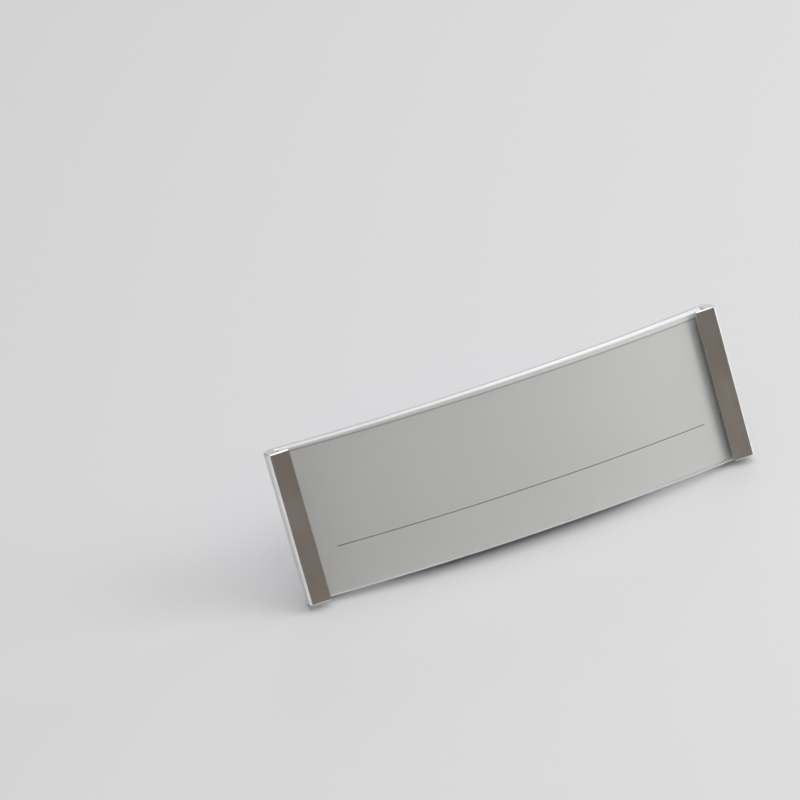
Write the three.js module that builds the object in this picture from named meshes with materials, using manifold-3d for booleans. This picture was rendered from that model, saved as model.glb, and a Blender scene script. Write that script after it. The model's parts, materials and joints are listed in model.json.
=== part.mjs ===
// A curved name badge with a magnetic fitting on its back, standing on a flat surface.
// A bent aluminium frame holds a printed sheet under a clear cover, in slots behind its two end lips.
// A base plate is bonded into the hollow of the frame's back, and a plastic carrier with two disc
// magnets holds itself to that plate, through the cloth that the badge is worn on.
//
// The pieces are built in the badge's own axes: x along its length, y up its face from the lower
// long edge, z out of its front, with z = 0 on the plane that the back of both ends touches.
// The whole badge then leans back until the rim of the carrier's round head meets the surface.
import * as THREE from 'three';
import { mergeVertices } from 'three/addons/utils/BufferGeometryUtils.js';
import Module from 'manifold-3d';

const wasm = await Module();
wasm.setup();

// Frame, in millimetres.
const badgeLength = 76;
const badgeHeight = 25;
const archRise = 4.4;            // back of the strip at mid length, above the plane of its ends
const stripThickness = 1.5;
const endWall = 1.9;
const endDepth = 4.2;            // from the back plane to the front of the lips
const lipWidth = 3.45;
const lipThickness = 0.75;
const backCornerRadius = 1.6;
const lipCornerChamfer = 0.32;
const seamHeight = 2.3;          // of the fine groove along each end wall, above the back plane
const seamWidth = 0.3;
const seamDepth = 0.2;
const pushHoleDiameter = 5;
const pushHoleSpacing = 61.2;

// Printed sheet and clear cover, which slide into the slots behind the lips.
const sheetThickness = 0.25;
const coverThickness = 0.6;
const coverShortfall = 0.05;     // how much lower the cover is than the frame
const coverLift = 0.15;          // of the cover's lower edge above the frame's
const sheetInset = 0.35;         // of the sheet's edges inside the cover's upper and lower ones

// Base plate, a pressed pan.
const plateLength = 50.4;
const plateHeight = 19;
const plateSheet = 1;            // thickness of the metal that it is pressed from
const plateFace = 1.5;           // flat face of the plate, above the back plane
const plateCornerRadius = 2.6;
const plateEdgeRadius = 0.9;

// Magnet carrier.
const clothGap = 2.8;            // between the base plate and the carrier
const carrierThickness = 3;
const carrierHeight = 18.4;
const carrierRightEnd = 20.7;    // from the middle of the badge
const carrierCornerRadius = 3;
const carrierEdgeRadius = 0.3;
const carrierDrop = 0.4;         // of the carrier below the badge's centre line
const headRadius = 10.8;
const headOffset = -12.7;        // of the head's centre from the middle of the badge
const dishRim = 0.95;            // width of the rim round the head's shallow dish
const dishDepth = 0.15;
const nailOffset = 6.4;          // of the thumbnail recess's straight wall from the head's centre
const nailHalfWidth = 5.5;
const nailLength = 2.9;          // of the recess, from its straight wall to its curved end
const nailDeep = 0.9;
const nailShallow = 0.3;

// Disc magnets.
const headMagnetRadius = 10;
const bodyMagnetRadius = 8.4;
const bodyMagnetInset = 1.4;     // of the body magnet's rim from the carrier's right end
const magnetChamfer = 0.25;

// Clearances between neighbouring pieces.
const layerGap = 0.18;           // strip to sheet, and sheet to cover
const slotEndGap = 0.3;
const bondGap = 0.2;
const seatGap = 0.25;

// Worked out from the values above.
const halfLength = badgeLength / 2;
const midHeight = badgeHeight / 2;
const cornerCentre = halfLength - backCornerRadius;
const backRadius = (cornerCentre ** 2 + archRise ** 2) / (2 * archRise) - backCornerRadius;
const archCentre = archRise - backRadius;
const stripFront = backRadius + stripThickness;
const sheetBack = stripFront + layerGap;
const sheetFront = sheetBack + sheetThickness;
const coverBack = sheetFront + layerGap;
const coverFront = coverBack + coverThickness;
const slotEnd = halfLength - endWall - slotEndGap;
const carrierMiddle = midHeight - carrierDrop;
const carrierInner = plateFace - clothGap;
const carrierOuter = carrierInner - carrierThickness;

// How finely the round forms are faceted.
const archSteps = 36;
const cornerSteps = 8;
const headSteps = 72;
const discSteps = 64;
const bevelSteps = 4;

// How far a cutting solid runs past what it cuts.
const overrun = 2;

const finishes = {
  aluminium: { color: 0xd3d4d4, metalness: 0.9, roughness: 0.32 },
  platedSteel: { color: 0xdcdddd, metalness: 0.9, roughness: 0.3 },
  nickel: { color: 0xe6e6e4, metalness: 1, roughness: 0.12 },
  print: { color: 0xa9a9a6, metalness: 0.5, roughness: 0.5 },
  clear: { color: 0xf2f4f5, metalness: 0, roughness: 0.08, transparent: true, opacity: 0.3 },
  bluePlastic: { color: 0x4a62e0, metalness: 0, roughness: 0.42 },
};

// Points of an arc about (cx, cy), from one angle to another.
function arcPoints(cx, cy, radius, from, to, steps) {
  const points = [];
  for (let i = 0; i <= steps; i += 1) {
    const angle = from + (to - from) * (i / steps);
    points.push(new THREE.Vector2(cx + radius * Math.cos(angle), cy + radius * Math.sin(angle)));
  }
  return points;
}

// Points of a curve that follows the arch at a given radius, from mid length out to a distance x.
function archPoints(radius, x) {
  return arcPoints(0, archCentre, radius, Math.PI / 2, Math.acos(x / radius), archSteps);
}

// A closed outline from its right half, whose first and last points lie on the middle line.
function mirrorOutline(half) {
  const left = half.slice(1, -1).reverse().map((point) => new THREE.Vector2(-point.x, point.y));
  return [...half, ...left];
}

// Turns a three.js geometry into a solid that can be joined and cut.
function toSolid(geometry) {
  const bare = geometry.clone();
  bare.deleteAttribute('normal');
  bare.deleteAttribute('uv');
  const merged = mergeVertices(bare, 1e-5);
  return new wasm.Manifold(new wasm.Mesh({
    numProp: 3,
    vertProperties: new Float32Array(merged.attributes.position.array),
    triVerts: new Uint32Array(merged.index.array),
  }));
}

// A solid with an x-z outline, swept up the face from one y to another.
function sweptSolid(outline, fromY, toY) {
  const geometry = new THREE.ExtrudeGeometry(new THREE.Shape(outline), {
    depth: toY - fromY,
    bevelEnabled: false,
  });
  geometry.rotateX(Math.PI / 2);
  geometry.translate(0, toY, 0);
  return toSolid(geometry);
}

// A slab with an x-y outline, between two heights, with both its rims rounded inside the outline.
function slabSolid(outline, fromZ, toZ, edgeRadius) {
  const geometry = new THREE.ExtrudeGeometry(new THREE.Shape(outline), {
    depth: toZ - fromZ - 2 * edgeRadius,
    bevelEnabled: edgeRadius > 0,
    bevelThickness: edgeRadius,
    bevelSize: edgeRadius,
    bevelOffset: -edgeRadius,
    bevelSegments: bevelSteps,
  });
  geometry.translate(0, 0, fromZ + edgeRadius);
  return toSolid(geometry);
}

// A disc about (x, y) between two heights, with chamfered rims.
function discSolid(x, y, radius, fromZ, toZ, chamfer = 0) {
  const profile = [
    new THREE.Vector2(0, fromZ),
    new THREE.Vector2(radius - chamfer, fromZ),
    new THREE.Vector2(radius, fromZ + chamfer),
    new THREE.Vector2(radius, toZ - chamfer),
    new THREE.Vector2(radius - chamfer, toZ),
    new THREE.Vector2(0, toZ),
  ];
  const corners = profile.filter((point, i) => i === 0 || !point.equals(profile[i - 1]));
  const geometry = new THREE.LatheGeometry(corners, discSteps);
  geometry.rotateX(Math.PI / 2);
  geometry.translate(x, y, 0);
  return toSolid(geometry);
}

// A rectangle about (cx, cy) with round corners.
function roundedRectangle(cx, cy, length, height, radius) {
  const dx = length / 2 - radius;
  const dy = height / 2 - radius;
  const quarter = Math.PI / 2;
  return [[1, 1], [-1, 1], [-1, -1], [1, -1]].flatMap(([sx, sy], i) => (
    arcPoints(cx + sx * dx, cy + sy * dy, radius, i * quarter, (i + 1) * quarter, cornerSteps)
  ));
}

// The bent strip with its end walls and lips, one profile along the badge's whole height.
function frameSolid() {
  const lipBack = endDepth - lipThickness;
  const innerWall = halfLength - endWall;
  const towardsArch = Math.atan2(archCentre - backCornerRadius, -cornerCentre);
  const backEnd = backRadius * (cornerCentre / (backRadius + backCornerRadius));
  const half = [
    ...archPoints(backRadius, backEnd).slice(0, -1),
    ...arcPoints(cornerCentre, backCornerRadius, backCornerRadius, towardsArch, 0, cornerSteps),
    new THREE.Vector2(halfLength, seamHeight - seamWidth / 2),
    new THREE.Vector2(halfLength - seamDepth, seamHeight),
    new THREE.Vector2(halfLength, seamHeight + seamWidth / 2),
    new THREE.Vector2(halfLength, endDepth - lipCornerChamfer),
    new THREE.Vector2(halfLength - lipCornerChamfer, endDepth),
    new THREE.Vector2(halfLength - lipWidth, endDepth),
    new THREE.Vector2(halfLength - lipWidth, lipBack),
    new THREE.Vector2(innerWall, lipBack),
    ...archPoints(stripFront, innerWall).reverse(),
  ];
  let frame = sweptSolid(mirrorOutline(half), 0, badgeHeight);
  for (const side of [-1, 1]) {
    const x = side * (pushHoleSpacing / 2);
    const hole = discSolid(x, midHeight, pushHoleDiameter / 2, -overrun, endDepth + overrun);
    frame = frame.subtract(hole);
  }
  return frame;
}

// A sheet bent to the arch between two radii, reaching to the ends of the slots.
function bentSheet(innerRadius, outerRadius, fromY, toY) {
  const half = [...archPoints(innerRadius, slotEnd), ...archPoints(outerRadius, slotEnd).reverse()];
  return sweptSolid(mirrorOutline(half), fromY, toY);
}

// A shallow pan: its flat side shows at the back, its rim follows the arch of the strip that it is
// bonded to, and its hollow side is towards the strip.
function basePlateSolid() {
  const outline = roundedRectangle(0, midHeight, plateLength, plateHeight, plateCornerRadius);
  const hollow = roundedRectangle(
    0, midHeight, plateLength - 2 * plateSheet, plateHeight - 2 * plateSheet,
    plateCornerRadius - plateSheet,
  );
  const pan = slabSolid(outline, plateFace, archRise + overrun, plateEdgeRadius)
    .subtract(slabSolid(hollow, plateFace + plateSheet, archRise + 2 * overrun, 0));
  const underArch = [
    ...archPoints(backRadius - bondGap, plateLength / 2 + overrun),
    new THREE.Vector2(plateLength / 2 + overrun, plateFace - overrun),
    new THREE.Vector2(0, plateFace - overrun),
  ];
  return pan.intersect(sweptSolid(mirrorOutline(underArch), 0, badgeHeight));
}

// The carrier's outline: a round head that runs into a narrower body with two round corners.
function carrierOutline() {
  const halfBody = carrierHeight / 2;
  const neckAngle = Math.asin(halfBody / headRadius);
  const cornerX = carrierRightEnd - carrierCornerRadius;
  const cornerY = halfBody - carrierCornerRadius;
  const top = carrierMiddle + cornerY;
  const bottom = carrierMiddle - cornerY;
  const radius = carrierCornerRadius;
  return [
    ...arcPoints(headOffset, carrierMiddle, headRadius, neckAngle, 2 * Math.PI - neckAngle, headSteps),
    ...arcPoints(cornerX, bottom, radius, -Math.PI / 2, 0, cornerSteps),
    ...arcPoints(cornerX, top, radius, 0, Math.PI / 2, cornerSteps),
  ];
}

// A D-shaped hollow in the carrier's outer face, deepest at its straight wall, for a thumbnail.
function nailRecess() {
  const wallX = headOffset - nailOffset;
  const arcRadius = (nailHalfWidth ** 2 + nailLength ** 2) / (2 * nailLength);
  const arcX = wallX - nailLength + arcRadius;
  const sweep = Math.asin(nailHalfWidth / arcRadius);
  const outline = arcPoints(
    arcX, carrierMiddle, arcRadius, Math.PI - sweep, Math.PI + sweep, 2 * cornerSteps,
  );
  const geometry = new THREE.ExtrudeGeometry(new THREE.Shape(outline), {
    depth: 1,
    bevelEnabled: false,
  });
  const position = geometry.attributes.position;
  for (let i = 0; i < position.count; i += 1) {
    const share = (wallX - position.getX(i)) / nailLength;
    const floor = carrierOuter + nailDeep + (nailShallow - nailDeep) * share;
    position.setZ(i, position.getZ(i) > 0.5 ? floor : carrierOuter - overrun);
  }
  return toSolid(geometry);
}

function carrierSolid() {
  const slab = slabSolid(carrierOutline(), carrierOuter, carrierInner, carrierEdgeRadius);
  const dish = discSolid(
    headOffset, carrierMiddle, headRadius - dishRim, carrierOuter - overrun, carrierOuter + dishDepth,
  );
  return slab.subtract(dish).subtract(nailRecess());
}

// A disc magnet, clear of the plate and of the carrier that it is bonded to.
function magnetSolid(x, radius) {
  const fromZ = carrierInner + seatGap;
  const toZ = plateFace - seatGap;
  return discSolid(x, carrierMiddle, radius, fromZ, toZ, magnetChamfer);
}

// A named mesh from a solid.
function piece(name, solid, finish) {
  const { vertProperties, triVerts } = solid.getMesh();
  const geometry = new THREE.BufferGeometry();
  geometry.setAttribute('position', new THREE.BufferAttribute(new Float32Array(vertProperties), 3));
  geometry.setIndex(new THREE.BufferAttribute(new Uint32Array(triVerts), 1));
  geometry.computeVertexNormals();
  const mesh = new THREE.Mesh(geometry, new THREE.MeshStandardMaterial({ ...finish, name }));
  mesh.name = name;
  return mesh;
}

// How far the badge leans back from upright, standing on its ends' lower back corners and on the
// rounded rim of the carrier's head.
function leanAngle() {
  const rimY = carrierMiddle - headRadius + carrierEdgeRadius;
  const rimDepth = -(carrierOuter + carrierEdgeRadius);
  return Math.atan2(rimY, rimDepth) - Math.asin(carrierEdgeRadius / Math.hypot(rimY, rimDepth));
}

const coverTop = coverLift + badgeHeight - coverShortfall;
const bodyMagnetX = carrierRightEnd - bodyMagnetInset - bodyMagnetRadius;

const badge = new THREE.Group();
badge.add(
  piece('badge_frame', frameSolid(), finishes.aluminium),
  piece(
    'printed_sheet',
    bentSheet(sheetBack, sheetFront, coverLift + sheetInset, coverTop - sheetInset),
    finishes.print,
  ),
  piece('clear_cover', bentSheet(coverBack, coverFront, coverLift, coverTop), finishes.clear),
  piece('base_plate', basePlateSolid(), finishes.platedSteel),
  piece('head_magnet', magnetSolid(headOffset, headMagnetRadius), finishes.nickel),
  piece('body_magnet', magnetSolid(bodyMagnetX, bodyMagnetRadius), finishes.nickel),
  piece('magnet_carrier', carrierSolid(), finishes.bluePlastic),
);
badge.rotation.x = Math.PI / 2 - leanAngle();
badge.updateMatrixWorld(true);

// The origin is on the surface, under the middle of the leaning badge.
const extent = new THREE.Box3().setFromObject(badge, true);
const middle = extent.getCenter(new THREE.Vector3());
badge.position.set(-middle.x, -middle.y, -extent.min.z);

const nameBadge = new THREE.Group();
nameBadge.add(badge);

export default nameBadge;
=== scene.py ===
# A curved name badge with a magnetic fitting on its back. It leans on its own carrier, on a pale
# floor. Every piece is modelled in the badge's own axes, in metres: x along its length, y up its
# face from the lower long edge, z out of its front. Its mesh is then placed where the frame holds
# the badge.
import json
import math

import bmesh
import bpy
from mathutils import Matrix, Vector


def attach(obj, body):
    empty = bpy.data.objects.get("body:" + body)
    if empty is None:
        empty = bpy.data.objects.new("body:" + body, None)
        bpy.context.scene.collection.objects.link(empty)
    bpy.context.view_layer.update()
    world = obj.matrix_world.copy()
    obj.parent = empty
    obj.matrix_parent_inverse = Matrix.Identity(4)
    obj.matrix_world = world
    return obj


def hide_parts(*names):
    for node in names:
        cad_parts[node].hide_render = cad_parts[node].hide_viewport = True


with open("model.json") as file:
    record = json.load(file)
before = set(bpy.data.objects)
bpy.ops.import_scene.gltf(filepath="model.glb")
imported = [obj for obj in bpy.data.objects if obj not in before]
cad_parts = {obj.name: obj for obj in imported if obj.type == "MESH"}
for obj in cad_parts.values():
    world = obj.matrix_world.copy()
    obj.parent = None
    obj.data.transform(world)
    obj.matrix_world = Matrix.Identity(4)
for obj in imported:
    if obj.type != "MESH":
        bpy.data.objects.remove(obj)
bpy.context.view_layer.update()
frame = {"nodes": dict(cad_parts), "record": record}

MM = 0.001

# Frame profile. Here and below, an edge has two values: how far it is rounded, and in how many
# steps, where one step is a chamfer.
STRIP_THICKNESS = 1.5 * MM
ARCH_RISE = 4.4 * MM
END_WALL = 1.9 * MM
END_DEPTH = 4.2 * MM
LIP_WIDTH = 3.45 * MM
LIP_THICKNESS = 0.75 * MM
BACK_CORNER = 1.6 * MM
LIP_CORNER = 0.32 * MM
CUT_EDGE = (0.16 * MM, 1)
SEAM_HEIGHT = 2.3 * MM
SEAM_WIDTH = 0.3 * MM
SEAM_DEPTH = 0.2 * MM
SEAM_HAIRLINE = 0.09 * MM
SEAM_REACH = 0.04 * MM
HOLE_RADIUS = 2.5 * MM
HOLE_SPACING = 61.2 * MM
HOLE_EDGE = (0.2 * MM, 3)

# Sheet and cover. The sheet fills its slot. The cover sits a little askew, its left end high.
LAYER_GAP = 0.04 * MM
SHEET_THICKNESS = 0.53 * MM
COVER_THICKNESS = 0.6 * MM
COVER_FRONT_EDGE = (0.26 * MM, 4)
COVER_BACK_EDGE = (0.05 * MM, 1)
COVER_SKEW = math.radians(-0.19)
COVER_REACH = 0.2 * MM

# The print, in millimetres. It falls a little towards the right end.
PRINT_SLOPE = 0.0075
RULE_HEIGHT = 7.43
RULE_MIDDLE = 0.15
RULE_HALF_LENGTH = 31.25
RULE_HALF_WIDTH = 0.065
PRINT_TOP = 24.1
# Width of the painted shadow line along the print's top edge.
PRINT_EDGE_SHADOW_WIDTH = 0.24

# Base plate, and how thick a slice is cut off above it.
PLATE_SHEET = 1.0 * MM
PLATE_CORNER = 2.6 * MM
PLATE_EDGE = (0.9 * MM, 6)
BOND_GAP = 0.03 * MM
PLATE_CUT = 8 * MM

# Carrier and magnets.
HEAD_RADIUS = 10.8 * MM
BODY_CORNER = 3.0 * MM
BODY_HEIGHT = 18.4 * MM
OUTER_EDGE = (0.35 * MM, 4)
INNER_EDGE = (0.15 * MM, 2)
DISH_RIM = 0.95 * MM
DISH_STEP = 0.08 * MM
DISH_DEPTH = 0.24 * MM
NAIL_OFFSET = 6.4 * MM
NAIL_HALF_WIDTH = 5.5 * MM
NAIL_LENGTH = 2.9 * MM
NAIL_DEEP = 0.8 * MM
NAIL_SHALLOW = 0.12 * MM
MARK_RADIUS = 3.6 * MM
MARK_INSET = 5.2 * MM
MARK_RISE = 4.8 * MM
MARK_WIDTH = 0.22 * MM
MARK_DEPTH = 0.1 * MM
MAGNET_EDGE = (0.25 * MM, 3)

# How finely the curves are divided.
ARCH_STEPS = 96
ROUND_STEPS = 144
HOLE_STEPS = 64
CORNER_STEPS = 10
CHAMFER = 1
DISH_STEPS = 8
NAIL_STEPS = 24
MARK_STEPS = 96

# How far a cutter reaches past what it cuts, and when points count as one and corners as sharp.
OVERSHOOT = 1.0 * MM
MERGE_DISTANCE = 0.0001 * MM
SLACK = 0.02 * MM
SHARP_ANGLE = math.radians(40)
CREASE_ANGLE = math.radians(28)

# How much of a face's normal points along the badge's height, on a chamfer, on a sawn edge and on
# the cover's cut edges, and how much of it points the way that a face faces.
CHAMFER_LEAN = (0.6, 0.8)
SAWN_LEAN = 0.95
COVER_EDGE_LEAN = 0.12
FACING = 0.5

# The frame's finishes, in the order of its materials. The bright corners carry a painted highlight
# and the lips a painted reflection.
PLAIN_FACE, SAWN_FACE, HIGHLIGHT_FACE, LIP_REFLECTION_FACE = range(4)

# Each finish: its darker and its lighter tone, and its lowest and highest roughness.
ALUMINIUM_TONES = ((0.72, 0.72, 0.72), (0.80, 0.80, 0.80))
ALUMINIUM_ROUGHNESS = (0.385, 0.455)
# The lips' darker, warmer tones are a painted reflection of dark surroundings.
LIP_REFLECTION_TONES = ((0.46, 0.415, 0.375), (0.52, 0.475, 0.43))
LIP_ROUGHNESS = (0.305, 0.375)
SAWN_TONES = ((0.84, 0.83, 0.85), (0.97, 0.96, 0.98))
SAWN_ROUGHNESS = (0.36, 0.5)
# Corner tones are lighter: a painted highlight on the chamfers.
CORNER_HIGHLIGHT_TONES = ((0.84, 0.84, 0.84), (0.97, 0.97, 0.97))
CORNER_ROUGHNESS = (0.38, 0.46)
PRINT_TONES = ((0.71, 0.71, 0.695), (0.79, 0.79, 0.77))
PRINT_ROUGHNESS = (0.40, 0.48)
RULE_TONE = (0.12, 0.123, 0.127)
# Painted light for the band above the print's top edge, and painted shadow along that edge.
TOP_BAND_LIGHT_TONE = (0.93, 0.93, 0.93)
PRINT_EDGE_SHADOW_TONE = (0.36, 0.36, 0.36)
PRINT_EDGE_SHADOW_STRENGTH = 0.75
# The sheet's back is painted near black: painted shade seen through the holes.
BACKING_SHADE_TONES = ((0.016, 0.015, 0.012), (0.03, 0.028, 0.024))
COVER_ROUGHNESS = (0.03, 0.13)
COVER_TINT = (0.985, 0.99, 0.99, 1)
ACRYLIC_IOR = 1.49
# Near white: partly the scored edge's own colour, partly painted glow and painted highlight.
FROST_AND_GLOW_TONES = ((0.90, 0.91, 0.92), (1.0, 1.0, 1.0))
FROST_ROUGHNESS = (0.25, 0.4)
PLATE_TONES = ((0.84, 0.84, 0.835), (0.92, 0.92, 0.915))
PLATE_ROUGHNESS = (0.42, 0.5)
# Magnet tones are painted dark: painted shade for the gap under the carrier.
NICKEL_SHADE_TONES = ((0.15, 0.15, 0.16), (0.21, 0.21, 0.22))
NICKEL_ROUGHNESS = (0.18, 0.28)
BLUE_TONES = ((0.030, 0.080, 0.80), (0.042, 0.105, 0.90))
BLUE_SPECK_TONE = (0.12, 0.19, 0.92)
BLUE_ROUGHNESS = (0.33, 0.42)
FINE_BUMP = 0.02 * MM
COARSE_BUMP = 0.03 * MM


# The badge's own axes.

def badge_axes():
    """The matrix that puts the badge's own axes in the frame, from the carrier's flat face."""
    mounts = {mount["name"]: mount for mount in frame["record"]["mounts"]}
    front = -Vector(mounts["carrier_outer_face"]["axis"]).normalized()
    along = Vector((1, 0, 0))
    turn = Matrix((along, front.cross(along), front)).transposed()
    corners = [turn.transposed() @ v.co for v in frame["nodes"]["badge_frame"].data.vertices]
    low = Vector((0, min(c.y for c in corners), min(c.z for c in corners)))
    return Matrix.Translation(turn @ low) @ turn.to_4x4()


BADGE = badge_axes()


def span(node_name):
    """Lowest and highest corner of a node, in the badge's own axes."""
    inverse = BADGE.inverted()
    corners = [inverse @ v.co for v in frame["nodes"][node_name].data.vertices]
    low = Vector([min(c[i] for c in corners) for i in range(3)])
    high = Vector([max(c[i] for c in corners) for i in range(3)])
    return low, high


FRAME_HIGH = span("badge_frame")[1]
COVER_LOW, COVER_HIGH = span("clear_cover")
SHEET_LOW, SHEET_HIGH = span("printed_sheet")
PLATE_LOW, PLATE_HIGH = span("base_plate")
CARRIER_LOW, CARRIER_HIGH = span("magnet_carrier")

HALF_LENGTH = FRAME_HIGH.x
HEIGHT = FRAME_HIGH.y
INNER_WALL = HALF_LENGTH - END_WALL
LIP_BACK = END_DEPTH - LIP_THICKNESS
CORNER_CENTRE = HALF_LENGTH - BACK_CORNER
BACK_RADIUS = (CORNER_CENTRE ** 2 + ARCH_RISE ** 2) / (2 * ARCH_RISE) - BACK_CORNER
ARCH_CENTRE = Vector((0, 0, ARCH_RISE - BACK_RADIUS))
SHEET_BACK = BACK_RADIUS + STRIP_THICKNESS + LAYER_GAP
COVER_BACK = SHEET_BACK + SHEET_THICKNESS + LAYER_GAP
COVER_FRONT = COVER_BACK + COVER_THICKNESS
HEAD_CENTRE = Vector((CARRIER_LOW.x + HEAD_RADIUS, (CARRIER_LOW.y + CARRIER_HIGH.y) / 2, 0))


# Mesh helpers.

def finish_piece(name, bm, node_name, slot, *materials):
    """Makes a piece from a mesh in the badge's own axes, smooth but for its sharp corners."""
    bmesh.ops.remove_doubles(bm, verts=bm.verts, dist=MERGE_DISTANCE)
    bmesh.ops.recalc_face_normals(bm, faces=bm.faces)
    for face in bm.faces:
        face.smooth = True
    for edge in bm.edges:
        edge.smooth = edge.is_manifold and edge.calc_face_angle(0) < SHARP_ANGLE
    bmesh.ops.transform(bm, matrix=BADGE, verts=bm.verts)
    mesh = bpy.data.meshes.new(name)
    bm.to_mesh(mesh)
    bm.free()
    for material in materials:
        mesh.materials.append(material)
    piece = bpy.data.objects.new(name, mesh)
    bpy.context.scene.collection.objects.link(piece)
    shading = piece.modifiers.new("even shading", "WEIGHTED_NORMAL")
    shading.keep_sharp = True
    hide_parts(node_name)
    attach(piece, "root")
    return piece


def cut(bm, cutter):
    """Cuts one closed mesh by another and gives what is left."""
    blanks = []
    for source in (bm, cutter):
        bmesh.ops.recalc_face_normals(source, faces=source.faces)
        mesh = bpy.data.meshes.new("blank")
        source.to_mesh(mesh)
        source.free()
        blank = bpy.data.objects.new("blank", mesh)
        bpy.context.scene.collection.objects.link(blank)
        blanks.append(blank)
    boolean = blanks[0].modifiers.new("cut", "BOOLEAN")
    boolean.operation = "DIFFERENCE"
    boolean.solver = "EXACT"
    boolean.object = blanks[1]
    evaluated = blanks[0].evaluated_get(bpy.context.evaluated_depsgraph_get())
    result = bmesh.new()
    result.from_mesh(evaluated.to_mesh())
    evaluated.to_mesh_clear()
    for blank in blanks:
        mesh = blank.data
        bpy.data.objects.remove(blank)
        bpy.data.meshes.remove(mesh)
    return result


def bevel(bm, edges, width, segments):
    """Rounds edges by a width, or chamfers them with one segment."""
    bmesh.ops.bevel(bm, geom=list(edges), offset=width, offset_type="OFFSET", affect="EDGES",
                    segments=segments, profile=0.5, material=-1, clamp_overlap=False)


def turn_points(bm, verts, centre, angle, axis):
    """Turns points about an axis through a centre."""
    bmesh.ops.rotate(bm, verts=verts, cent=centre, matrix=Matrix.Rotation(angle, 3, axis))


def near(a, b, slack=SLACK):
    """Whether two distances are the same but for a little."""
    return abs(a - b) < slack


def upright_edges(bm, x, z):
    """Edges along the badge's height at one distance from its middle and one depth."""
    return [e for e in bm.edges if all(near(abs(v.co.x), x) and near(v.co.z, z) for v in e.verts)
            and not near(e.verts[0].co.y, e.verts[1].co.y)]


def creases(bm, test):
    """Sharp edges whose two ends both pass a test."""
    return [e for e in bm.edges if e.is_manifold and e.calc_face_angle(0) > CREASE_ANGLE
            and all(test(v.co) for v in e.verts)]


def arch_radius(point):
    """How far a point lies from the arch's axis."""
    return math.hypot(point.x, point.z - ARCH_CENTRE.z)


def arched_bar(radius, thickness, half_length, low, high):
    """A bar bent to the arch: the section of its left end, spun about the arch's axis."""
    bm = bmesh.new()
    section = bmesh.ops.create_grid(bm, x_segments=1, y_segments=1, size=0.5)["verts"]
    bmesh.ops.scale(bm, verts=section, vec=(thickness, high - low, 1))
    turn_points(bm, section, (0, 0, 0), math.pi / 2, "Y")
    middle = Vector((0, (low + high) / 2, ARCH_CENTRE.z + radius + thickness / 2))
    bmesh.ops.translate(bm, verts=section, vec=middle)
    half_angle = math.asin(half_length / (radius + thickness))
    turn_points(bm, section, ARCH_CENTRE, -half_angle, "Y")
    bmesh.ops.spin(bm, geom=bm.verts[:] + bm.edges[:] + bm.faces[:], cent=ARCH_CENTRE,
                   axis=(0, 1, 0), angle=2 * half_angle, steps=ARCH_STEPS, use_duplicate=False)
    bmesh.ops.recalc_face_normals(bm, faces=bm.faces)
    return bm


def block(low, high):
    """A plain box between two corners, for shaping further."""
    bm = bmesh.new()
    verts = bmesh.ops.create_cube(bm, size=1)["verts"]
    bmesh.ops.scale(bm, verts=verts, vec=high - low)
    bmesh.ops.translate(bm, verts=verts, vec=(low + high) / 2)
    return bm


def rounded_block(low, high, corner):
    """A box whose four edges along z are rounded."""
    bm = block(low, high)
    bevel(bm, [e for e in bm.edges if not near(e.verts[0].co.z, e.verts[1].co.z)], corner,
          CORNER_STEPS)
    return bm


def round_bar(centre, radius, low, high, segments=ROUND_STEPS):
    """A round bar along z."""
    bm = bmesh.new()
    verts = bmesh.ops.create_cone(bm, cap_ends=True, segments=segments, radius1=radius,
                                  radius2=radius, depth=high - low)["verts"]
    bmesh.ops.translate(bm, verts=verts, vec=(centre.x, centre.y, (low + high) / 2))
    return bm


def raise_face(bm, face, offset):
    """Extrudes one face by an offset and gives the new end face."""
    made = bmesh.ops.extrude_discrete_faces(bm, faces=[face])["faces"][0]
    bmesh.ops.translate(bm, verts=made.verts, vec=offset)
    return made


def spun_arc(bm, start, centre, axis, angle, steps):
    """Spins one vertex into an arc and gives the last vertex."""
    made = bmesh.ops.spin(bm, geom=[start], cent=centre, axis=axis, angle=angle, steps=steps,
                          use_duplicate=False)
    return next(g for g in made["geom_last"] if isinstance(g, bmesh.types.BMVert))


def full_turn(bm, centre, steps):
    """Spins a section into a closed round shape about an axis along z."""
    bmesh.ops.spin(bm, geom=bm.verts[:] + bm.edges[:], cent=centre, axis=(0, 0, 1),
                   angle=2 * math.pi, steps=steps, use_merge=True, use_duplicate=False)
    bmesh.ops.remove_doubles(bm, verts=bm.verts, dist=MERGE_DISTANCE)
    return bm


# Materials.

def node(tree, kind, inputs=None, **settings):
    """Adds a shader node, with values or links for its inputs."""
    made = tree.nodes.new(kind)
    for name, value in settings.items():
        setattr(made, name, value)
    for name, value in (inputs or {}).items():
        if isinstance(value, bpy.types.NodeSocket):
            tree.links.new(value, made.inputs[name])
        else:
            made.inputs[name].default_value = value
    return made


def new_group(name, inputs, outputs):
    """An empty shader group with named inputs and outputs."""
    tree = bpy.data.node_groups.new(name, "ShaderNodeTree")
    for socket, kind, value in inputs:
        made = tree.interface.new_socket(socket, in_out="INPUT", socket_type=kind)
        if value is not None:
            made.default_value = value
    for socket, kind in outputs:
        tree.interface.new_socket(socket, in_out="OUTPUT", socket_type=kind)
    return tree, tree.nodes.new("NodeGroupInput").outputs, tree.nodes.new("NodeGroupOutput").inputs


def badge_space_group():
    """Turns Object coordinates into millimetres along the badge's own axes."""
    tree, _, outs = new_group("badge space", [], [("Vector", "NodeSocketVector")])
    inverse = BADGE.inverted()
    turned = node(tree, "ShaderNodeMapping", {
        "Vector": node(tree, "ShaderNodeTexCoord").outputs["Object"],
        "Location": inverse.translation,
        "Rotation": inverse.to_euler(),
    })
    scaled = node(tree, "ShaderNodeVectorMath", {0: turned.outputs[0], "Scale": 1 / MM},
                  operation="SCALE")
    tree.links.new(scaled.outputs[0], outs["Vector"])
    return tree


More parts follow.
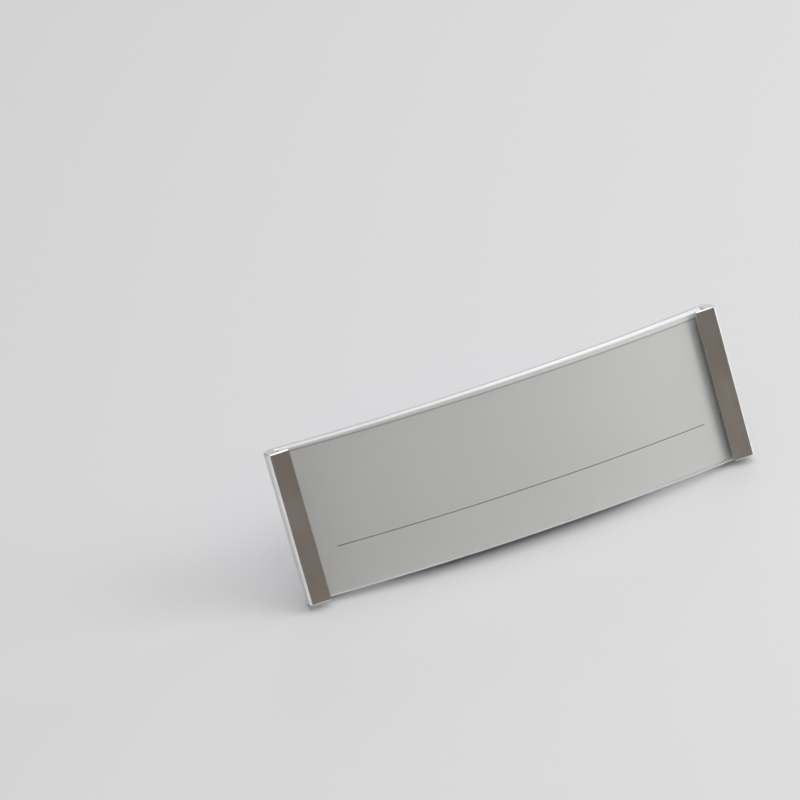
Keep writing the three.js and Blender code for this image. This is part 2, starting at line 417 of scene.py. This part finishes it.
def grain_group():
    """A fine grain and a broad mottling, both about one half."""
    tree, ins, outs = new_group(
        "grain",
        [("Vector", "NodeSocketVector", None), ("Grains per mm", "NodeSocketFloat", 6.0),
         ("Mottle per mm", "NodeSocketFloat", 0.2)],
        [("Grain", "NodeSocketFloat"), ("Mottle", "NodeSocketFloat")],
    )
    fine = node(tree, "ShaderNodeTexNoise", {
        "Vector": ins["Vector"], "Scale": ins["Grains per mm"], "Detail": 3.0, "Roughness": 0.6,
    })
    broad = node(tree, "ShaderNodeTexNoise", {
        "Vector": ins["Vector"], "Scale": ins["Mottle per mm"], "Detail": 4.0, "Roughness": 0.55,
    })
    tree.links.new(fine.outputs[0], outs["Grain"])
    tree.links.new(broad.outputs[0], outs["Mottle"])
    return tree


def drawn_lines_group():
    """Long thin lines, as a drawn, brushed or sawn face has them."""
    tree, ins, outs = new_group(
        "drawn lines",
        [("Vector", "NodeSocketVector", None), ("Lines per mm", "NodeSocketVector", (0.05, 6, 6))],
        [("Lines", "NodeSocketFloat")],
    )
    stretched = node(tree, "ShaderNodeVectorMath", {0: ins["Vector"], 1: ins["Lines per mm"]},
                     operation="MULTIPLY")
    noise = node(tree, "ShaderNodeTexNoise", {
        "Vector": stretched.outputs[0], "Scale": 1.0, "Detail": 4.0, "Roughness": 0.7,
    })
    tree.links.new(noise.outputs[0], outs["Lines"])
    return tree


def handling_group():
    """Soft smudges where fingers have been, and a few tiny specks, both from none to one."""
    tree, ins, outs = new_group(
        "handling",
        [("Vector", "NodeSocketVector", None), ("Specks per mm", "NodeSocketFloat", 0.5)],
        [("Smudges", "NodeSocketFloat"), ("Specks", "NodeSocketFloat")],
    )
    cloud = node(tree, "ShaderNodeTexNoise", {
        "Vector": ins["Vector"], "Scale": 0.09, "Detail": 5.0, "Roughness": 0.65,
        "Distortion": 0.6,
    })
    smudges = node(tree, "ShaderNodeMapRange", {
        "Value": cloud.outputs[0], "From Min": 0.52, "From Max": 0.72,
    })
    cells = node(tree, "ShaderNodeTexVoronoi", {
        "Vector": ins["Vector"], "Scale": ins["Specks per mm"],
    })
    specks = node(tree, "ShaderNodeMapRange", {
        "Value": cells.outputs["Distance"], "From Min": 0.05, "From Max": 0.03,
    })
    tree.links.new(smudges.outputs[0], outs["Smudges"])
    tree.links.new(specks.outputs[0], outs["Specks"])
    return tree


BADGE_SPACE = badge_space_group()
GRAIN = grain_group()
LINES = drawn_lines_group()
HANDLING = handling_group()


def placed(tree, group, inputs=None):
    """Puts one of the shared groups in a material."""
    return node(tree, "ShaderNodeGroup", inputs, node_tree=group)


def new_material(name, values):
    """A material with one Principled shader, whose even values are set on its own sockets."""
    material = bpy.data.materials.new(name)
    material.use_nodes = True
    tree = material.node_tree
    shader = tree.nodes["Principled BSDF"]
    for socket, value in values.items():
        shader.inputs[socket].default_value = value
    return material, tree, shader, placed(tree, BADGE_SPACE).outputs["Vector"]


def ranged(tree, value, low, high):
    """A value about one half, spread between two others."""
    return node(tree, "ShaderNodeMapRange", {
        "Value": value, "From Min": 0.3, "From Max": 0.7, "To Min": low, "To Max": high,
    }).outputs[0]


def blended(tree, factor, first, second):
    """A colour between two others, each a colour or a link."""
    mix = node(tree, "ShaderNodeMix", {"Factor": factor}, data_type="RGBA")
    for socket, colour in ((mix.inputs[6], first), (mix.inputs[7], second)):
        if isinstance(colour, bpy.types.NodeSocket):
            tree.links.new(colour, socket)
        else:
            socket.default_value = (*colour, 1)
    return mix.outputs[2]


def toned(tree, shader, value, tones):
    """Colours a material between its two tones, by a value about one half."""
    colour = blended(tree, ranged(tree, value, 0, 1), *tones)
    tree.links.new(colour, shader.inputs["Base Color"])


def summed(tree, first, second, share):
    """One value plus a share of another."""
    return node(tree, "ShaderNodeMath", {0: second, 1: share, 2: first},
                operation="MULTIPLY_ADD").outputs[0]


def roughened(tree, shader, value, roughness, smudges=None, share=0.0):
    """Spreads the roughness by a value about one half, and adds a share of the smudges."""
    rough = ranged(tree, value, *roughness)
    if smudges is not None:
        rough = summed(tree, rough, smudges, share)
    tree.links.new(rough, shader.inputs["Roughness"])


def bumped(tree, shader, height, strength, distance):
    """Raises and sinks the surface a little by a value."""
    bump = node(tree, "ShaderNodeBump", {
        "Height": height, "Strength": strength, "Distance": distance,
    })
    tree.links.new(bump.outputs[0], shader.inputs["Normal"])


def passes_light(tree, shader, share):
    """Lets a share of the lamps' light through, though the piece is seen in full."""
    shadow = node(tree, "ShaderNodeLightPath").outputs["Is Shadow Ray"]
    seen = node(tree, "ShaderNodeMath", {0: shadow, 1: -share, 2: 1.0}, operation="MULTIPLY_ADD")
    tree.links.new(seen.outputs[0], shader.inputs["Alpha"])


def satin_aluminium(name, tones, roughness):
    """Anodised aluminium: a fine matt grain, faint drawn lines up the profile, light handling."""
    material, tree, shader, space = new_material(name, {"Metallic": 1.0})
    grain = placed(tree, GRAIN, {"Vector": space, "Grains per mm": 7.0, "Mottle per mm": 0.16})
    lines = placed(tree, LINES, {"Vector": space, "Lines per mm": (5.0, 0.04, 5.0)})
    handling = placed(tree, HANDLING, {"Vector": space})
    toned(tree, shader, grain.outputs["Mottle"], tones)
    roughened(tree, shader, lines.outputs["Lines"], roughness, handling.outputs["Smudges"], 0.05)
    height = summed(tree, grain.outputs["Grain"], lines.outputs["Lines"], 0.6)
    bumped(tree, shader, height, 0.1, FINE_BUMP)
    return material


def cut_aluminium():
    """The sawn edges: a paler, less even metal, with short lines across the thickness."""
    material, tree, shader, space = new_material("cut aluminium", {"Metallic": 0.6})
    lines = placed(tree, LINES, {"Vector": space, "Lines per mm": (9.0, 1.0, 0.7)})
    toned(tree, shader, lines.outputs["Lines"], SAWN_TONES)
    roughened(tree, shader, lines.outputs["Lines"], SAWN_ROUGHNESS)
    bumped(tree, shader, lines.outputs["Lines"], 0.25, COARSE_BUMP)
    return material


def painted_highlight_corner():
    """The frame's chamfered corners, lighter than the rest of the metal: a painted highlight on top
    of the lamps' own.
    """
    material, tree, shader, space = new_material("corner painted highlight", {"Metallic": 1.0})
    lines = placed(tree, LINES, {"Vector": space, "Lines per mm": (0.3, 0.3, 0.3)})
    toned(tree, shader, lines.outputs["Lines"], CORNER_HIGHLIGHT_TONES)
    roughened(tree, shader, lines.outputs["Lines"], CORNER_ROUGHNESS)
    return material


def printed_silver():
    """The silver-grey print: a fine glitter and one thin dark rule. Above its top edge a white band
    is painted light, for the strip lit through the cover, and along that edge a grey line is
    painted shadow.
    """
    material, tree, shader, space = new_material("printed silver", {"Metallic": 0.45})
    grain = placed(tree, GRAIN, {"Vector": space, "Grains per mm": 9.0, "Mottle per mm": 0.05})
    glitter = ranged(tree, grain.outputs["Grain"], 0, 1)
    silver = blended(tree, glitter, *PRINT_TONES)
    axes = node(tree, "ShaderNodeSeparateXYZ", {0: space})
    level = node(tree, "ShaderNodeMath", {
        0: axes.outputs["X"], 1: PRINT_SLOPE, 2: axes.outputs["Y"],
    }, operation="MULTIPLY_ADD")
    across = node(tree, "ShaderNodeMath", {
        0: level.outputs[0], 1: RULE_HEIGHT, 2: RULE_HALF_WIDTH,
    }, operation="COMPARE")
    along = node(tree, "ShaderNodeMath", {
        0: axes.outputs["X"], 1: RULE_MIDDLE, 2: RULE_HALF_LENGTH,
    }, operation="COMPARE")
    rule = node(tree, "ShaderNodeMath", {0: across.outputs[0], 1: along.outputs[0]},
                operation="MULTIPLY")
    ruled = blended(tree, rule.outputs[0], silver, RULE_TONE)
    # Above the top edge: a white band of painted light; along it: a grey line of painted shadow.
    height = node(tree, "ShaderNodeMath", {0: level.outputs[0], 1: PRINT_TOP},
                  operation="SUBTRACT")
    above = node(tree, "ShaderNodeMath", {0: height.outputs[0], 1: 0.0},
                 operation="GREATER_THAN")
    with_light_band = blended(tree, above.outputs[0], ruled, TOP_BAND_LIGHT_TONE)
    off_edge = node(tree, "ShaderNodeMath", {0: height.outputs[0]}, operation="ABSOLUTE")
    edge = node(tree, "ShaderNodeMapRange", {
        "Value": off_edge.outputs[0], "From Max": PRINT_EDGE_SHADOW_WIDTH,
        "To Min": PRINT_EDGE_SHADOW_STRENGTH, "To Max": 0.0,
    }, interpolation_type="SMOOTHSTEP")
    tree.links.new(blended(tree, edge.outputs[0], with_light_band, PRINT_EDGE_SHADOW_TONE),
                   shader.inputs["Base Color"])
    roughened(tree, shader, grain.outputs["Grain"], PRINT_ROUGHNESS)
    return material


def backing_painted_shade():
    """The back of the sheet: nearly black and slightly uneven, a painted shade that keeps the holes
    through the strip dark.
    """
    material, tree, shader, space = new_material("backing painted shade", {
        "Roughness": 0.6, "Specular IOR Level": 0.25,
    })
    grain = placed(tree, GRAIN, {"Vector": space, "Grains per mm": 3.0, "Mottle per mm": 0.4})
    toned(tree, shader, grain.outputs["Mottle"], BACKING_SHADE_TONES)
    bumped(tree, shader, grain.outputs["Grain"], 0.2, COARSE_BUMP)
    return material


def clear_acrylic():
    """The clear cover, which lets the lamps' light through to the sheet."""
    material, tree, shader, space = new_material("clear acrylic", {
        "Base Color": COVER_TINT, "Transmission Weight": 1.0, "IOR": ACRYLIC_IOR,
    })
    handling = placed(tree, HANDLING, {"Vector": space, "Specks per mm": 0.22})
    marks = summed(tree, handling.outputs["Specks"], handling.outputs["Smudges"], 0.1)
    tree.links.new(node(tree, "ShaderNodeMapRange", {
        "Value": marks, "To Min": COVER_ROUGHNESS[0], "To Max": COVER_ROUGHNESS[1],
    }).outputs[0], shader.inputs["Roughness"])
    passes_light(tree, shader, 1.0)
    return material


def frosted_edge_and_glow():
    """The cover's cut edges and rounded front edges: white and slightly rough, as scored acrylic
    is, and brightened to near white as a painted glow of light piped through the acrylic and a
    painted highlight on the roundings.
    """
    material, tree, shader, space = new_material("frosted edge and painted glow", {
        "IOR": ACRYLIC_IOR,
    })
    lines = placed(tree, LINES, {"Vector": space, "Lines per mm": (4.0, 2.0, 2.0)})
    toned(tree, shader, lines.outputs["Lines"], FROST_AND_GLOW_TONES)
    roughened(tree, shader, lines.outputs["Lines"], FROST_ROUGHNESS)
    passes_light(tree, shader, 0.8)
    return material


def satin_plate():
    """The pressed plate: bright satin plating with faint drawn lines and light handling."""
    material, tree, shader, space = new_material("satin plate", {"Metallic": 1.0})
    grain = placed(tree, GRAIN, {"Vector": space, "Grains per mm": 8.0, "Mottle per mm": 0.12})
    lines = placed(tree, LINES, {"Vector": space, "Lines per mm": (0.05, 7.0, 7.0)})
    handling = placed(tree, HANDLING, {"Vector": space})
    toned(tree, shader, grain.outputs["Mottle"], PLATE_TONES)
    roughened(tree, shader, lines.outputs["Lines"], PLATE_ROUGHNESS,
              handling.outputs["Smudges"], 0.06)
    bumped(tree, shader, lines.outputs["Lines"], 0.06, FINE_BUMP)
    return material


def shaded_nickel():
    """Nickel plating on the magnets, a little orange-peeled, painted dark as painted shade for the
    gap under the carrier.
    """
    material, tree, shader, space = new_material("nickel painted shade", {"Metallic": 1.0})
    grain = placed(tree, GRAIN, {"Vector": space, "Grains per mm": 3.0, "Mottle per mm": 0.3})
    toned(tree, shader, grain.outputs["Mottle"], NICKEL_SHADE_TONES)
    roughened(tree, shader, grain.outputs["Mottle"], NICKEL_ROUGHNESS)
    bumped(tree, shader, grain.outputs["Grain"], 0.05, FINE_BUMP)
    return material


def blue_plastic():
    """Moulded blue plastic: a silky skin with a very fine texture and light handling."""
    material, tree, shader, space = new_material("blue plastic", {"IOR": 1.5})
    grain = placed(tree, GRAIN, {"Vector": space, "Grains per mm": 5.0, "Mottle per mm": 0.09})
    handling = placed(tree, HANDLING, {"Vector": space, "Specks per mm": 0.3})
    tone = ranged(tree, grain.outputs["Mottle"], 0, 1)
    blue = blended(tree, tone, *BLUE_TONES)
    tree.links.new(blended(tree, handling.outputs["Specks"], blue, BLUE_SPECK_TONE),
                   shader.inputs["Base Color"])
    roughened(tree, shader, grain.outputs["Mottle"], BLUE_ROUGHNESS,
              handling.outputs["Smudges"], 0.08)
    bumped(tree, shader, grain.outputs["Grain"], 0.12, FINE_BUMP)
    return material


# Pieces.

def end_profile(bm, side):
    """Turns one end of the strip forward into its end wall, and inward into its lip."""
    end = max(bm.faces, key=lambda face: side * face.calc_center_median().x)
    for vert in end.verts:
        vert.co.x = side * INNER_WALL
    outer = raise_face(bm, end, (side * END_WALL, 0, 0))
    for vert in outer.verts:
        if vert.co.z < STRIP_THICKNESS:
            vert.co.z = 0
    wall_middle = side * (HALF_LENGTH - END_WALL / 2)
    top = max((f for f in bm.faces if near(f.calc_center_median().x, wall_middle)
               and abs(f.normal.z) > FACING), key=lambda face: face.calc_center_median().z)
    for height in (SEAM_HEIGHT - SEAM_WIDTH / 2, SEAM_HEIGHT, SEAM_HEIGHT + SEAM_WIDTH / 2,
                   LIP_BACK, END_DEPTH):
        top = raise_face(bm, top, (0, 0, 0))
        for vert in top.verts:
            vert.co.z = height
    for vert in bm.verts:
        if near(vert.co.z, SEAM_HEIGHT) and near(side * vert.co.x, HALF_LENGTH):
            vert.co.x -= side * SEAM_DEPTH
    lip_middle = (LIP_BACK + END_DEPTH) / 2
    inner = next(f for f in bm.faces if all(near(side * v.co.x, INNER_WALL) for v in f.verts)
                 and near(f.calc_center_median().z, lip_middle))
    raise_face(bm, inner, (-side * (LIP_WIDTH - END_WALL), 0, 0))


def seam_hairline(side, low, high):
    """A cutter for the fine joint line across one cut face of an end."""
    left, right = sorted((side * (INNER_WALL - SEAM_REACH), side * (HALF_LENGTH + OVERSHOOT)))
    half = SEAM_HAIRLINE / 2
    return block(Vector((left, low, SEAM_HEIGHT - half)),
                 Vector((right, high, SEAM_HEIGHT + half)))


def badge_frame():
    """The bent strip with its walls, lips and push-out holes."""
    bm = arched_bar(BACK_RADIUS, STRIP_THICKNESS, INNER_WALL, 0, HEIGHT)
    for side in (-1, 1):
        end_profile(bm, side)
    bmesh.ops.recalc_face_normals(bm, faces=bm.faces)
    bevel(bm, upright_edges(bm, HALF_LENGTH, 0), BACK_CORNER, CORNER_STEPS)
    bevel(bm, upright_edges(bm, HALF_LENGTH, END_DEPTH), LIP_CORNER, CHAMFER)
    for side in (-1, 1):
        centre = Vector((side * HOLE_SPACING / 2, HEIGHT / 2, 0))
        bm = cut(bm, round_bar(centre, HOLE_RADIUS, -2 * OVERSHOOT, END_DEPTH + 2 * OVERSHOOT,
                               HOLE_STEPS))
        flat_distance = lambda p: math.hypot(p.x - centre.x, p.y - centre.y)
        bevel(bm, creases(bm, lambda p: near(flat_distance(p), HOLE_RADIUS)), *HOLE_EDGE)
    for level in (0, HEIGHT):
        bevel(bm, creases(bm, lambda p: near(p.y, level)), *CUT_EDGE)
    for side in (-1, 1):
        for low, high in ((-OVERSHOOT, SEAM_HAIRLINE),
                          (HEIGHT - SEAM_HAIRLINE, HEIGHT + OVERSHOOT)):
            bm = cut(bm, seam_hairline(side, low, high))
    bm.normal_update()
    for face in bm.faces:
        middle = face.calc_center_median()
        front_corner = abs(middle.x) > HALF_LENGTH - LIP_CORNER and near(
            middle.z, END_DEPTH - LIP_CORNER / 2, LIP_CORNER / 3)
        lip = abs(middle.x) > HALF_LENGTH - LIP_WIDTH and near(middle.z, END_DEPTH)
        # Chamfers and the lips' front corners take the painted highlight; the lips' fronts take the
        # painted reflection.
        if front_corner or CHAMFER_LEAN[0] < abs(face.normal.y) < CHAMFER_LEAN[1]:
            face.material_index = HIGHLIGHT_FACE
        elif lip:
            face.material_index = LIP_REFLECTION_FACE
        elif abs(face.normal.y) > SAWN_LEAN:
            face.material_index = SAWN_FACE
        else:
            face.material_index = PLAIN_FACE
    plain = satin_aluminium("satin aluminium", ALUMINIUM_TONES, ALUMINIUM_ROUGHNESS)
    # The lips' material holds a painted dark reflection in its tones.
    lips = satin_aluminium("lips with painted reflection", LIP_REFLECTION_TONES, LIP_ROUGHNESS)
    return finish_piece("frame_profile", bm, "badge_frame", "frame_aluminium",
                        plain, cut_aluminium(), painted_highlight_corner(), lips)


def printed_sheet():
    """The sheet, bent to the arch: printed silver, but for its back face, painted near black as
    painted shade.
    """
    bm = arched_bar(SHEET_BACK, SHEET_THICKNESS, SHEET_HIGH.x, SHEET_LOW.y, SHEET_HIGH.y)
    for face in bm.faces:
        outward = face.calc_center_median() - ARCH_CENTRE
        face.material_index = int(face.normal.dot(outward.normalized()) < -FACING)
    return finish_piece("silver_sheet", bm, "printed_sheet", "sheet_print",
                        printed_silver(), backing_painted_shade())


def clear_cover():
    """The clear cover, bent to the arch, with rounded front edges and frosted cut edges."""
    reach = COVER_HIGH.x + COVER_REACH
    bm = arched_bar(COVER_BACK, COVER_THICKNESS, reach, COVER_LOW.y, COVER_HIGH.y)
    for level in (COVER_LOW.y, COVER_HIGH.y):
        for radius, edge in ((COVER_FRONT, COVER_FRONT_EDGE), (COVER_BACK, COVER_BACK_EDGE)):
            along_arch = lambda p: near(p.y, level) and near(arch_radius(p), radius)
            bevel(bm, creases(bm, along_arch), *edge)
    bm.normal_update()
    for face in bm.faces:
        # Cut edges and rounded front edges take the white edge material: scored acrylic plus
        # painted glow and painted highlight.
        face.material_index = int(abs(face.normal.y) > COVER_EDGE_LEAN)
    turn_points(bm, bm.verts, (COVER_LOW + COVER_HIGH) / 2, COVER_SKEW, "Z")
    return finish_piece("cover_window", bm, "clear_cover", "cover_clear",
                        clear_acrylic(), frosted_edge_and_glow())


def base_plate():
    """The pressed pan, trimmed to the arch of the strip."""
    top = Vector((PLATE_HIGH.x, PLATE_HIGH.y, ARCH_RISE + 2 * OVERSHOOT))
    pan = rounded_block(PLATE_LOW, top, PLATE_CORNER)
    bevel(pan, creases(pan, lambda p: near(p.z, PLATE_LOW.z)), *PLATE_EDGE)
    hollow_low = PLATE_LOW + Vector((PLATE_SHEET, PLATE_SHEET, PLATE_SHEET))
    hollow_high = top - Vector((PLATE_SHEET, PLATE_SHEET, -PLATE_SHEET))
    pan = cut(pan, rounded_block(hollow_low, hollow_high, PLATE_CORNER - PLATE_SHEET))
    above = arched_bar(BACK_RADIUS - BOND_GAP, PLATE_CUT, PLATE_HIGH.x + 3 * OVERSHOOT,
                       -OVERSHOOT, HEIGHT + OVERSHOOT)
    pan = cut(pan, above)
    return finish_piece("plate_pan", pan, "base_plate", "plate_steel", satin_plate())


def magnet(name, node_name, material):
    """A disc magnet with rounded rims, where its node is."""
    low, high = span(node_name)
    bm = round_bar((low + high) / 2, (high.x - low.x) / 2, low.z, high.z)
    bevel(bm, creases(bm, lambda p: True), *MAGNET_EDGE)
    return finish_piece(name, bm, node_name, "magnet_nickel", material)


def thickened(bm, depth):
    """Closes an outline with a face and draws it out along z; gives the raised vertices."""
    bmesh.ops.contextual_create(bm, geom=bm.edges[:])
    made = bmesh.ops.extrude_face_region(bm, geom=bm.faces[:])["geom"]
    raised = [g for g in made if isinstance(g, bmesh.types.BMVert)]
    bmesh.ops.translate(bm, verts=raised, vec=(0, 0, depth))
    bmesh.ops.recalc_face_normals(bm, faces=bm.faces)
    return raised


def carrier_blank():
    """The carrier's outline: an arc round the head, drawn out to the body's end and thickened."""
    bm = bmesh.new()
    half = BODY_HEIGHT / 2
    neck = math.asin(half / HEAD_RADIUS)
    middle = Vector((HEAD_CENTRE.x, HEAD_CENTRE.y, CARRIER_LOW.z))
    start = bm.verts.new(middle + Vector((HEAD_RADIUS * math.cos(neck), half, 0)))
    last = spun_arc(bm, start, middle, (0, 0, 1), 2 * (math.pi - neck), ROUND_STEPS)
    lower = bm.verts.new((CARRIER_HIGH.x, middle.y - half, middle.z))
    upper = bm.verts.new((CARRIER_HIGH.x, middle.y + half, middle.z))
    for pair in ((last, lower), (lower, upper), (upper, start)):
        bm.edges.new(pair)
    thickened(bm, CARRIER_HIGH.z - CARRIER_LOW.z)
    return bm


def dish_cutter():
    """The dish in the head: a small step at its rim, then gently hollow."""
    bm = bmesh.new()
    radius = HEAD_RADIUS - DISH_RIM
    hollow = DISH_DEPTH - DISH_STEP
    ball = (radius ** 2 + hollow ** 2) / (2 * hollow)
    pole = Vector((HEAD_CENTRE.x, HEAD_CENTRE.y, CARRIER_LOW.z + DISH_DEPTH))
    rim = spun_arc(bm, bm.verts.new(pole), pole - Vector((0, 0, ball)), (0, 1, 0),
                   math.asin(radius / ball), DISH_STEPS)
    outside = bm.verts.new((rim.co.x, rim.co.y, CARRIER_LOW.z - OVERSHOOT))
    axis = bm.verts.new((pole.x, pole.y, CARRIER_LOW.z - OVERSHOOT))
    bm.edges.new((rim, outside))
    bm.edges.new((outside, axis))
    return full_turn(bm, HEAD_CENTRE, ROUND_STEPS)


def nail_cutter():
    """The D-shaped thumbnail recess, deepest at its straight wall."""
    bm = bmesh.new()
    wall = HEAD_CENTRE.x - NAIL_OFFSET
    radius = (NAIL_HALF_WIDTH ** 2 + NAIL_LENGTH ** 2) / (2 * NAIL_LENGTH)
    centre = Vector((wall - NAIL_LENGTH + radius, HEAD_CENTRE.y, CARRIER_LOW.z - OVERSHOOT))
    start = bm.verts.new((wall, HEAD_CENTRE.y + NAIL_HALF_WIDTH, centre.z))
    last = spun_arc(bm, start, centre, (0, 0, 1), 2 * math.asin(NAIL_HALF_WIDTH / radius),
                    NAIL_STEPS)
    bm.edges.new((last, start))
    for vert in thickened(bm, OVERSHOOT):
        share = (wall - vert.co.x) / NAIL_LENGTH
        vert.co.z = CARRIER_LOW.z + NAIL_DEEP + (NAIL_SHALLOW - NAIL_DEEP) * share
    return bm


def mark_cutter():
    """The faint plain ring that the mould leaves near the body's end."""
    bm = bmesh.new()
    centre = Vector((CARRIER_HIGH.x - MARK_INSET, HEAD_CENTRE.y + MARK_RISE, CARRIER_LOW.z))
    section = bmesh.ops.create_circle(bm, segments=4, radius=MARK_DEPTH)["verts"]
    bmesh.ops.scale(bm, verts=section, vec=(MARK_WIDTH / (2 * MARK_DEPTH), 1, 1))
    turn_points(bm, section, (0, 0, 0), math.pi / 2, "X")
    bmesh.ops.translate(bm, verts=section, vec=centre + Vector((MARK_RADIUS, 0, 0)))
    return full_turn(bm, centre, MARK_STEPS)


def magnet_carrier():
    """The carrier, with rounded edges, its dish, its thumbnail recess and its ring."""
    bm = carrier_blank()
    end_corners = [e for e in bm.edges if all(near(v.co.x, CARRIER_HIGH.x) for v in e.verts)
                   and not near(e.verts[0].co.z, e.verts[1].co.z)]
    bevel(bm, end_corners, BODY_CORNER, CORNER_STEPS)
    for level, edge in ((CARRIER_LOW.z, OUTER_EDGE), (CARRIER_HIGH.z, INNER_EDGE)):
        bevel(bm, creases(bm, lambda p: near(p.z, level)), *edge)
    for cutter in (dish_cutter(), nail_cutter(), mark_cutter()):
        bm = cut(bm, cutter)
    return finish_piece("carrier_bar", bm, "magnet_carrier", "carrier_blue", blue_plastic())


# Floor, light and camera.

LENS = 245.5
CAMERA_DISTANCE = 0.8573
CAMERA_AZIMUTH = math.radians(14.90)
CAMERA_ELEVATION = math.radians(29.25)
CAMERA_ROLL = math.radians(-11.10)
CAMERA_AIM = Vector((-0.01345, 0.0092, 0.0226))
FURTHEST_SEEN = 20

# Each lamp: its bearing from the badge's front towards its right end and its elevation, in degrees,
# its distance and its width and height, in metres, and its power, in watts.
LAMPS = {
    "key": (60, 34, 0.8, 0.45, 0.45, 2.0),
    "fill": (5, 62, 0.8, 0.6, 0.5, 0.72),
    "overhead": (150, 77, 0.8, 0.7, 0.5, 1.6),
    "left": (-90, 6.5, 0.8, 0.14, 0.19, 0.6),
    "right": (99, 6.5, 0.8, 0.2, 0.19, 0.9),
    "behind": (150, 24, 0.9, 0.5, 0.35, 0.7),
}
LAMP_AIM = Vector((0, 0, 0.012))
FLOOR_REACH = 3
FLOOR_TONE = (0.80, 0.80, 0.795, 1)
FLOOR_ROUGHNESS = 0.6

# The room's tone at two heights, where 0 is level with the floor and 1 is straight above.
HORIZON_HEIGHT = 0.2
HORIZON_TONE = (0.10, 0.072, 0.052, 1)
OVERHEAD_HEIGHT = 0.7
OVERHEAD_TONE = (0.45, 0.46, 0.48, 1)


def camera():
    """The camera, turned with the badge so that its front is seen as in the photograph."""
    forward = Vector((
        math.sin(CAMERA_AZIMUTH) * math.cos(CAMERA_ELEVATION),
        math.cos(CAMERA_AZIMUTH) * math.cos(CAMERA_ELEVATION),
        -math.sin(CAMERA_ELEVATION),
    ))
    level = forward.cross(Vector((0, 0, 1))).normalized()
    above = level.cross(forward)
    right = math.cos(CAMERA_ROLL) * level + math.sin(CAMERA_ROLL) * above
    data = bpy.data.cameras.new("camera")
    data.lens = LENS
    data.clip_end = FURTHEST_SEEN
    eye = bpy.data.objects.new("camera", data)
    axes = Matrix((right, right.cross(forward), -forward)).transposed()
    eye.matrix_world = Matrix.Translation(CAMERA_AIM - forward * CAMERA_DISTANCE) @ axes.to_4x4()
    bpy.context.scene.collection.objects.link(eye)
    bpy.context.scene.camera = eye


def softbox(name, bearing, elevation, distance, width, height, power):
    """A soft lamp that faces the badge."""
    bearing, elevation = math.radians(bearing), math.radians(elevation)
    towards = Vector((math.sin(bearing) * math.cos(elevation),
                      -math.cos(bearing) * math.cos(elevation), math.sin(elevation)))
    data = bpy.data.lights.new(name, "AREA")
    data.shape = "RECTANGLE"
    data.size, data.size_y = width, height
    data.energy = power
    lamp = bpy.data.objects.new(name, data)
    lamp.location = LAMP_AIM + towards * distance
    lamp.rotation_euler = (-towards).to_track_quat("-Z", "Y").to_euler()
    bpy.context.scene.collection.objects.link(lamp)


def pale_floor():
    """The plain floor, which isn't part of the badge."""
    bm = bmesh.new()
    bmesh.ops.create_grid(bm, x_segments=1, y_segments=1, size=FLOOR_REACH)
    mesh = bpy.data.meshes.new("floor")
    bm.to_mesh(mesh)
    bm.free()
    material = bpy.data.materials.new("pale floor")
    material.use_nodes = True
    shader = material.node_tree.nodes["Principled BSDF"]
    shader.inputs["Base Color"].default_value = FLOOR_TONE
    shader.inputs["Roughness"].default_value = FLOOR_ROUGHNESS
    mesh.materials.append(material)
    ground = bpy.data.objects.new("floor", mesh)
    bpy.context.scene.collection.objects.link(ground)


def surroundings():
    """A soft room: dim at the level of the floor, brighter overhead."""
    world = bpy.data.worlds.new("room")
    world.use_nodes = True
    tree = world.node_tree
    axes = node(tree, "ShaderNodeSeparateXYZ", {
        0: node(tree, "ShaderNodeTexCoord").outputs["Generated"],
    })
    ramp = node(tree, "ShaderNodeValToRGB", {0: axes.outputs["Z"]})
    dim, bright = ramp.color_ramp.elements
    dim.position, dim.color = HORIZON_HEIGHT, HORIZON_TONE
    bright.position, bright.color = OVERHEAD_HEIGHT, OVERHEAD_TONE
    tree.links.new(ramp.outputs[0], tree.nodes["Background"].inputs["Color"])
    bpy.context.scene.world = world


camera()
badge_frame()
printed_sheet()
clear_cover()
base_plate()
# The magnets' dark tone is painted shade.
nickel = shaded_nickel()
magnet("head_disc", "head_magnet", nickel)
magnet("body_disc", "body_magnet", nickel)
magnet_carrier()
pale_floor()
surroundings()
for lamp_name, values in LAMPS.items():
    softbox(lamp_name, *values)
bpy.context.scene.view_settings.view_transform = "Standard"
